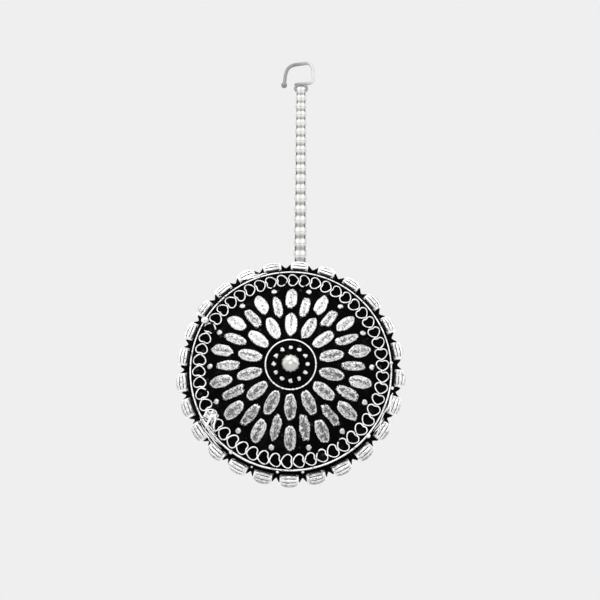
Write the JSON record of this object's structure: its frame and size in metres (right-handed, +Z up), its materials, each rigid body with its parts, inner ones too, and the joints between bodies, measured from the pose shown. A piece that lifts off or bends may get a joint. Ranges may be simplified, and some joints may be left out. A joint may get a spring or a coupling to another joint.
{
  "type": "maang tikka",
  "caption": "Domed round medallion with petal relief, a border of wire hearts and a beaded rim, swinging from a short box chain under an open hair hook.",
  "frame": {"origin": "inside of the hair hook's arch, straight above the chain, where hair or a pin holds the hook", "axes": "+Z up along the hanging chain, -Y the way the medallion's face looks, +X to the wearer's left in front view"},
  "size_m": [0.0446, 0.0177, 0.1238],
  "materials": {
    "oxidised_silver": "cast silver alloy, blackened in the hollows and worn bright on the relief",
    "bright_silver": "rubbed bright silver with fine pits and scratches",
    "black_oxide": "matt black oxide in the hollows of the relief",
    "chain_silver": "bright silver plate",
    "hook_wire": "drawn steel wire, lightly brushed"
  },
  "bodies": {
    "root": {"hook": "hook_wire", "link_01": "chain_silver", "link_02": "chain_silver", "link_03": "chain_silver", "link_04": "chain_silver", "link_05": "chain_silver", "link_06": "chain_silver", "link_07": "chain_silver", "link_08": "chain_silver", "link_09": "chain_silver", "link_10": "chain_silver", "link_11": "chain_silver", "link_12": "chain_silver", "link_13": "chain_silver", "link_14": "chain_silver", "link_15": "chain_silver", "link_16": "chain_silver", "link_17": "chain_silver", "link_18": "chain_silver", "link_19": "chain_silver", "link_20": "chain_silver", "link_21": "chain_silver", "link_22": "chain_silver", "link_23": "chain_silver", "link_24": "chain_silver", "link_25": "chain_silver", "link_26": "chain_silver", "link_27": "chain_silver", "link_28": "chain_silver", "link_29": "chain_silver", "link_30": "chain_silver", "link_31": "chain_silver", "link_32": "chain_silver", "link_33": "chain_silver", "link_34": "chain_silver", "link_35": "chain_silver", "link_36": "chain_silver", "link_37": "chain_silver", "link_38": "chain_silver", "link_39": "chain_silver", "link_40": "chain_silver", "link_41": "chain_silver", "end_ring": "chain_silver"},
    "medallion": {"medallion": "oxidised_silver"}
  },
  "joints": [
    {"name": "medallion_swing", "type": "hinge", "parent": "root", "child": "medallion", "pos_m": [0, 0, -0.08858], "axis": [1, 0, 0], "range_deg": [-10, 90]}
  ]
}
